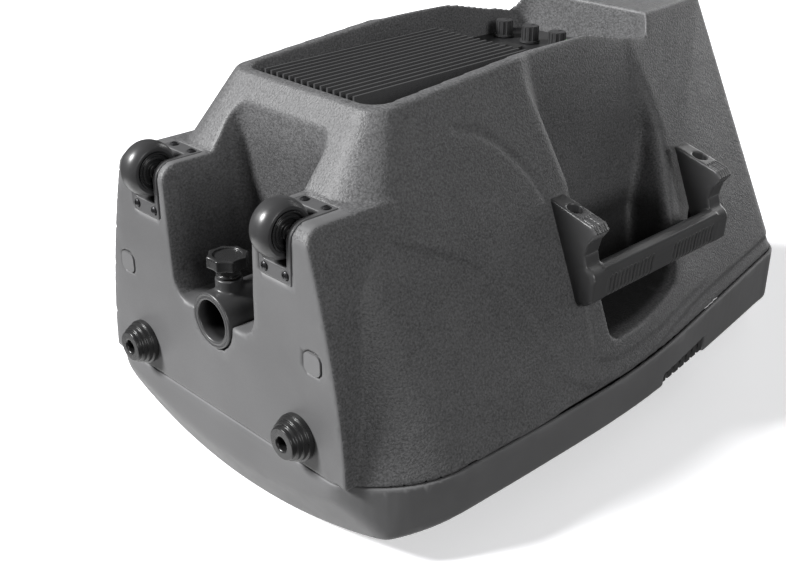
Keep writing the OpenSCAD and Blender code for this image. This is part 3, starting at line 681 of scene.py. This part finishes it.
def build_front():
    """The front moulding: bezel, grille seat, horn opening and port recesses."""
    f = Field((0, FRONT_Y - 4, -6), (210, SEAM_Y + 4, 678), 2.0)
    outline = outline_field(f.x, f.z)
    form = front_form(f, outline)
    hollow = np.maximum(np.maximum(outline, -f.z) + WALL + 1, BAFFLE_Y1 - f.y)
    upper = np.maximum(front_form(f, outline, WALL + 1), f.y - BAFFLE_Y1 - 1)
    room = np.maximum(upper, np.minimum(472 - f.z, np.maximum(f.x - 126, 408 - f.z)))
    d = cut(cut(form, hollow), room)
    d = cut(d, np.maximum(grille_field(f.x, f.z, outline), f.y - BAFFLE_Y0), 1.5)
    d = cut(d, rod(f.x, f.z - WOOFER_Z, 176))
    d = cut(d, np.maximum(rod(f.x, f.z - WOOFER_Z, 188), between(f.y, BAFFLE_Y0 - 4.5, BAFFLE_Y0)))
    d = cut(d, rmax(f.x - 118, between(f.z, HORN_Z - 62, HORN_Z + 82), 20), 2)
    port = rmax(PORT[0] - 18 - f.x, np.abs(f.z - PORT[1]) - 48, 8)
    d = cut(d, np.maximum(port, f.y - BAFFLE_Y0), 1.5)
    d = cut(d, rod(f.x - PORT[0], f.z - PORT[1], 21))
    d = smax(d, f.y - SEAM_Y + SEAM_GAP, 1.4)
    verts, faces, normals = f.surface(d, thin=0.03, whole=True)
    add_piece("front_bezel", verts, faces, MATERIALS["front_moulding"], "cabinet",
              ("front_baffle",), normals)


def bowed(x, depth, z):
    """Points at a depth behind the bowed front, as rows of x, y and z."""
    y = FRONT_Y + BOW_R - np.sqrt((BOW_R - depth) ** 2 - x * x)
    return np.stack([x, y, z], 1)


def build_grille():
    """The bowed steel grille: a rolled border and a sheet of hexagonal holes."""
    f = Field((0, 0, 10), (206, 7, 412), 1.0)
    edge = grille_field(f.x, f.z, outline_field(f.x, f.z)) + GRILLE_GAP
    band = np.maximum(edge, -edge - GRILLE_BORDER)
    d = rmax(band + 0 * f.y, between(f.y, 2.9, 4.6), 0.7)
    verts, faces, _ = f.surface(d, thin=0.02, whole=True)
    add_piece("grille_border", bowed(verts[:, 0], verts[:, 1], verts[:, 2]), faces,
              MATERIALS["grille_steel"], "cabinet", ("woofer_grille",))
    side = HOLE_PITCH / math.sqrt(3)
    turn = np.radians(30 + 60 * np.arange(6))
    corners = np.stack([np.cos(turn), np.sin(turn)], 1) * side
    rows = np.arange(0, 412, HOLE_PITCH * math.sqrt(3) / 2)
    centres = np.array([(x + (i % 2) * HOLE_PITCH / 2, z) for i, z in enumerate(rows)
                        for x in np.arange(-HOLE_PITCH * 32, HOLE_PITCH * 32, HOLE_PITCH)])
    outer = centres[:, None, :] + corners
    at = outer.reshape(-1, 2)
    inside = grille_field(np.abs(at[:, 0]), at[:, 1], outline_field(np.abs(at[:, 0]), at[:, 1]))
    keep = (inside < 2.5 - GRILLE_BORDER).reshape(-1, 6).all(axis=1)
    outer = outer[keep]
    inner = centres[keep][:, None, :] + corners * HOLE_SHARE
    rings = np.stack([outer, inner, outer, inner], 1)
    depth = np.array([SHEET_FRONT] * 2 + [SHEET_BACK] * 2)[None, :, None] + 0 * rings[..., 0]
    verts = bowed(rings[..., 0].ravel(), depth.ravel(), rings[..., 1].ravel())
    faces = []
    for first in range(0, len(verts), 24):
        for k in range(6):
            n = (k + 1) % 6
            front, hole, back, rear_hole = (first + 6 * r for r in range(4))
            faces.append((front + k, front + n, hole + n, hole + k))
            faces.append((back + n, back + k, rear_hole + k, rear_hole + n))
            faces.append((hole + k, hole + n, rear_hole + n, rear_hole + k))
    piece = add_piece("grille_sheet", verts, faces, MATERIALS["grille_steel"], "cabinet",
                      ("woofer_grille",))
    piece.data.polygons.foreach_set("use_smooth", [False] * len(piece.data.polygons))


def build_handles():
    """The bolted side handles: two arms with a hollow fillet, and a grooved bar."""
    f = Field((100, -13, 252), (194, 82, 470), 1.0)
    arm = polygon(f.x, f.y, [(128, 78), (140, 76), (184, 64), (189, 58), (182, 48), (179, 36),
                             (182, 25), (190, 14), (190, -4), (182, -10), (172, -10), (105, 60)])
    arm = cut(arm, rod(f.x - 204, f.y - 42, 20), 2)
    low_arm = np.abs(f.z - GRIP_Z0 - ARM_T / 2) - ARM_T / 2
    high_arm = np.abs(f.z - GRIP_Z1 + ARM_T / 2) - ARM_T / 2
    arms = np.minimum(rmax(arm, low_arm, 1.6), rmax(arm, high_arm, 1.6))
    back = rod(f.x - 182, f.y - 16, 9)
    face = rod(f.x - 181, f.y + 1, 8.5)
    web = polygon(f.x, f.y, [(173, 16), (191, 16), (190.3, 8), (189.5, -1), (172.5, -1)])
    bar = smin(smin(back, face, 3), web, 2)
    bar = rmax(bar, between(f.z, GRIP_Z0, GRIP_Z1), 3)
    rail = np.maximum(rod(f.x - 187.2, f.y - 21.5, 2.2), between(f.z, GRIP_Z0 + 16, GRIP_Z1 - 16))
    pitch = 5.6
    for low in (282.0, 379.0):
        at = np.abs((f.z - low + pitch / 2) % pitch - pitch / 2)
        span = between(f.z, low - 2, low + 11 * pitch + 2)
        slot = smax(at - 1.35, between(f.y, -6.5, 15.5), 2)
        slot = np.maximum(np.maximum(slot, span), 182 - f.x)
        bar = cut(bar, np.maximum(slot, -bar - 1.9), 0.8)
    handle = smin(arms, bar, 3)
    handle = np.minimum(handle, rail)
    for z in (GRIP_Z0 + ARM_T / 2, GRIP_Z1 - ARM_T / 2):
        rib = np.abs((f.z - z + 1.7) % 3.4 - 1.7) - 0.85
        rib = np.maximum(rib, np.abs(f.z - z) - 8.6)
        region = np.maximum(171 - f.x, 50 - f.y)
        handle = cut(handle, np.maximum(np.maximum(rib, region), -arm - 1.3), 0.5)
        handle = cut(handle, np.maximum(rod(f.x - 158, f.z - z, 7), 52 - f.y), 1)
        handle = cut(handle, rod(f.x - 158, f.z - z, 4.2))
    side = (f.x - (205 - 0.423 * (f.y - SEAM_Y))) * 0.92
    handle = np.maximum(handle, -side - 0.2)
    made = f.surface(handle, thin=0.01)
    both_sides("grip", made, MATERIALS["handle_plastic"],
               ("side_handle_left", "side_handle_right"))


def build_pole_socket():
    """The tube that takes a stand pole, its raised ring and the boss of the clamp."""
    f = Field((-30, -30, -4), (30, 38, 114), 0.9)
    z_span = between(f.z, -1.5, BORE_H + 4)
    tube = rmax(rod(f.x, f.y, TUBE_R), z_span, 1.2)
    boss = rmax(rod(f.x, f.z - CLAMP_Z, 11.5), between(f.y, 12, 34), 1.0)
    d = smin(tube, boss, 3)
    d = cut(d, np.maximum(rod(f.x, f.y, POLE_R), f.z - BORE_H), 1.5)
    d = cut(d, np.maximum(np.abs(rod(f.x, f.y, 21.6)) - 0.5, f.z + 0.6), 0.6)
    d = cut(d, np.maximum(rod(f.x, f.z - CLAMP_Z, 7), 26.5 - f.y))
    d = cut(d, np.maximum(rod(f.x, f.z - CLAMP_Z, 4.05), f.y * -1 + 5))
    made = f.surface(d, thin=0.01)
    piece = add_piece("pole_tube", made[0], made[1], MATERIALS["socket_plastic"], "cabinet",
                      ("pole_socket",), made[2])
    # painted shade: the inside of the bore is darkened through the deep attribute
    in_bore = rod(made[0][:, 0], made[0][:, 1], POLE_R + 0.8) < 0
    paint_shade(piece, in_bore * softstep(made[0][:, 2], 1, 9))


def build_clamp_knob():
    """An eight-sided hand knob with a dished face, on a neck and its screw."""
    f = Field((-21, 23, CLAMP_Z - 21), (21, 57, CLAMP_Z + 21), 0.5)
    z = f.z - CLAMP_Z
    round_head = rod(f.x, z, KNOB_R)
    flats = round_head
    for i in range(8):
        a = math.radians(i * 45)
        flats = cut(flats, rod(f.x - 38.5 * math.cos(a), z - 38.5 * math.sin(a), 22.8), 1.0)
    head = rmax(flats, between(f.y, KNOB_Y0, KNOB_Y1), 1.6)
    neck = rmax(rod(f.x, z, 9.4), between(f.y, 35, KNOB_Y0 + 1), 0.8)
    ring = rmax(rod(f.x, z, 10.4), between(f.y, 35.2, 37.4), 0.6)
    d = smin(head, np.minimum(neck, ring), 2)
    d = cut(d, rmax(rod(f.x, z, 12), 52.8 - f.y, 0.6), 0.7)
    d = np.minimum(d, np.maximum(rod(f.x, z, 3.9), between(f.y, 25.9, 45)))
    made = f.surface(d)
    add_piece("clamp_hand_knob", made[0], made[1], MATERIALS["clamp_plastic"],
              "clamp_knob_turn", ("clamp_knob",), made[2])


def build_housings():
    """The wheel housings: flush flanges with a slot for the wheel."""
    f = Field((64, 64, -3), (107, 120, 51), 0.7)
    flange = rmax(between(f.x, 67, 104.5), rmax(68 - f.y, f.z - 48, 1.5), 1.5)
    block = np.maximum(between(f.x, 70, 101.5), np.maximum(79 - f.y, f.z - 35))
    side = rmax(f.y - LEG_Y, -f.z, LEG_R)
    skin = np.maximum(np.maximum(flange, side), -(side + 3))
    d = np.minimum(skin, np.maximum(block, side))
    slot = rmax(between(f.x, 72, 99.5), rmax(81 - f.y, f.z - 33, 1.5), 2.0)
    d = cut(d, slot, 1.1)
    for x in (73.4, 98.1):
        lower = rod(f.x - x, f.y - 75, 4.1) + np.zeros_like(f.z)
        rear = rod(f.x - x, f.z - 41, 4.1) + np.zeros_like(f.y)
        for at in (lower, rear):
            d = cut(d, np.maximum(at, -(side + 0.5)), 0.4)
    made = f.surface(d)
    both_sides("wheel_cover", made, MATERIALS["housing_plastic"],
               ("wheel_housing_left", "wheel_housing_right"))


def build_wheels():
    """Turned wheels: a grooved hub and a crowned, smooth tyre."""
    half = WHEEL_W / 2
    hub_side = [(3.05, half - 0.3), (6.2, half - 0.3), (6.8, half - 2.6), (9.6, half - 2.6),
                (10.2, half - 0.8), (12.4, half - 0.8), (12.9, half - 1.8), (14.2, half - 1.8),
                (14.7, half - 0.2), (HUB_R, half - 0.2)]
    hub = hub_side + [(r, -h) for r, h in reversed(hub_side)]
    hub_verts, hub_faces = lathe(rounded_profile(hub, 0.35, 2), 96)
    tread = [(WHEEL_R - 5.2 * abs(h / half) ** 2.6, h) for h in np.linspace(half - 0.6, 0.6 - half, 25)]
    tyre = [(HUB_R + 0.02, half - 1.6), (17.2, half - 0.6)]
    tyre_low = [(r, -h) for r, h in reversed(tyre)]
    tyre_verts, tyre_faces = lathe(rounded_profile(tyre + tread + tyre_low, 0.5, 2), 128)
    for side, s in (("left", -1), ("right", 1)):
        body = side + "_wheel"
        at = (s * WHEEL_X, *AXLE)
        add_piece("hub_" + side, along_x(hub_verts, *at), hub_faces, MATERIALS["wheel_plastic"],
                  body, ("wheel_" + side,))
        add_piece("tread_" + side, along_x(tyre_verts, *at), tyre_faces,
                  MATERIALS["wheel_tyre"], body, ("tyre_" + side,))


def build_feet():
    """Stepped rubber feet with a deep screw hole, their steps a little wider than the design's."""
    corners = [(2.8, 0), (2.8, 6), (6, 6), (6, 16.4), (6.9, 17.5), (13.8, 17.5), (14.1, 13.5),
               (16.2, 13.5), (16.5, 9.5), (18.2, 9.5), (18.5, 5), (20, 5), (20, 0)]
    verts, faces = lathe(rounded_profile([(r, -h) for r, h in corners], 0.8, 3), 96)
    faces = [f[::-1] for f in faces]
    for side, s in (("left", -1), ("right", 1)):
        at = verts + np.array([s * FOOT[0], FOOT[1], 0])
        add_piece("rubber_foot_" + side, at, faces, MATERIALS["foot_rubber"], "cabinet",
                  ("foot_" + side,))


def soften_edges(names, width_mm, segments=2):
    """A fine round on the crisp edges of CAD nodes, so that they catch the light."""
    for name in names:
        mod = frame["nodes"][name].modifiers.new("edge", "BEVEL")
        mod.width = width_mm * MM
        mod.segments = segments
        mod.limit_method = "ANGLE"
        mod.angle_limit = math.radians(35)
        mod.harden_normals = True


build_shell()
build_front()
build_grille()
build_handles()
build_pole_socket()
build_clamp_knob()
build_housings()
build_wheels()
build_feet()
soften_edges(("heatsink", "amp_panel", "mains_inlet", "fuse_holder", "input_sockets",
              "link_socket", "port_insert_left", "port_insert_right"), 0.4)


# ---------- stage, lights and camera ----------
def studio_white():
    """A white sheet that only takes shadows and is see-through from behind."""
    mat = bpy.data.materials.new("studio_white")
    mat.use_nodes = True
    tree = mat.node_tree
    tree.nodes.clear()
    out = tree.nodes.new("ShaderNodeOutputMaterial")
    matte = tree.nodes.new("ShaderNodeBsdfDiffuse")
    matte.inputs["Color"].default_value = (0.85, 0.85, 0.87, 1)
    glow = tree.nodes.new("ShaderNodeEmission")
    glow.inputs["Strength"].default_value = 0.42
    clear = tree.nodes.new("ShaderNodeBsdfTransparent")
    both = tree.nodes.new("ShaderNodeAddShader")
    mix = tree.nodes.new("ShaderNodeMixShader")
    facing = tree.nodes.new("ShaderNodeNewGeometry")
    link(tree, matte.outputs[0], both.inputs[0])
    link(tree, glow.outputs[0], both.inputs[1])
    link(tree, facing.outputs["Backfacing"], mix.inputs[0])
    link(tree, both.outputs[0], mix.inputs[1])
    link(tree, clear.outputs[0], mix.inputs[2])
    link(tree, mix.outputs[0], out.inputs[0])
    return mat


def sheet(name, corners, material):
    """A flat sheet facing the side from which its corners run anticlockwise."""
    mesh = bpy.data.meshes.new(name)
    mesh.from_pydata(corners, [], [(0, 1, 2, 3)])
    mesh.materials.append(material)
    obj = bpy.data.objects.new(name, mesh)
    bpy.context.scene.collection.objects.link(obj)
    obj.visible_diffuse = False
    obj.visible_glossy = False
    obj.visible_transmission = False
    obj.visible_shadow = False


def sun(name, comes_from, strength, softness):
    data = bpy.data.lights.new(name, "SUN")
    data.energy = strength
    data.angle = softness
    obj = bpy.data.objects.new(name, data)
    obj.rotation_mode = "QUATERNION"
    obj.rotation_quaternion = Vector(comes_from).to_track_quat("Z", "Y")
    bpy.context.scene.collection.objects.link(obj)


def build_stage():
    white = studio_white()
    low, high = cad_bounds
    wide = 3.0
    sheet("floor", [(-wide, -wide, 0), (wide, -wide, 0), (wide, wide, 0), (-wide, wide, 0)], white)
    y = low.y - 0.001
    sheet("lying_floor", [(-wide, y, -wide), (-wide, y, wide), (wide, y, wide), (wide, y, -wide)], white)


def build_lights():
    world = bpy.data.worlds.new("studio")
    bpy.context.scene.world = world
    world.use_nodes = True
    tree = world.node_tree
    tree.nodes.clear()
    out = tree.nodes.new("ShaderNodeOutputWorld")
    path = tree.nodes.new("ShaderNodeLightPath")
    ambient = tree.nodes.new("ShaderNodeBackground")
    ambient.inputs["Color"].default_value = (1, 1, 1, 1)
    ambient.inputs["Strength"].default_value = 0.09
    seen = tree.nodes.new("ShaderNodeBackground")
    seen.inputs["Color"].default_value = (1, 1, 1, 1)
    seen.inputs["Strength"].default_value = 1.0
    mix = tree.nodes.new("ShaderNodeMixShader")
    link(tree, path.outputs["Is Camera Ray"], mix.inputs[0])
    link(tree, ambient.outputs[0], mix.inputs[1])
    link(tree, seen.outputs[0], mix.inputs[2])
    link(tree, mix.outputs[0], out.inputs[0])
    sun("key", (0.42, 0.62, -0.66), 7.4, 0.25)
    sun("left_fill", (-0.9, 0.45, -0.15), 1.45, 0.5)
    sun("front_fill", (0.3, -1.0, -0.15), 2.5, 1.5)
    sun("top_fill", (0.1, 0.2, 1.0), 1.5, 0.8)


def build_camera():
    """The photograph's viewpoint: below and behind the cabinet's left side."""
    ahead = Vector((0.642, -0.448, 0.622)).normalized()
    up = Vector((0.325, 0.894, 0.309))
    up = (up - up.dot(ahead) * ahead).normalized()
    right = ahead.cross(up)
    turn = Matrix((right, up, -ahead)).transposed().to_4x4()
    data = bpy.data.cameras.new("camera")
    data.sensor_width = 36
    data.lens = 52.69
    camera = bpy.data.objects.new("camera", data)
    camera.matrix_world = Matrix.Translation((-0.699, 0.4297, -0.4545)) @ turn
    bpy.context.scene.collection.objects.link(camera)
    bpy.context.scene.camera = camera
    bpy.context.scene.view_settings.view_transform = "Standard"


build_stage()
build_lights()
build_camera()
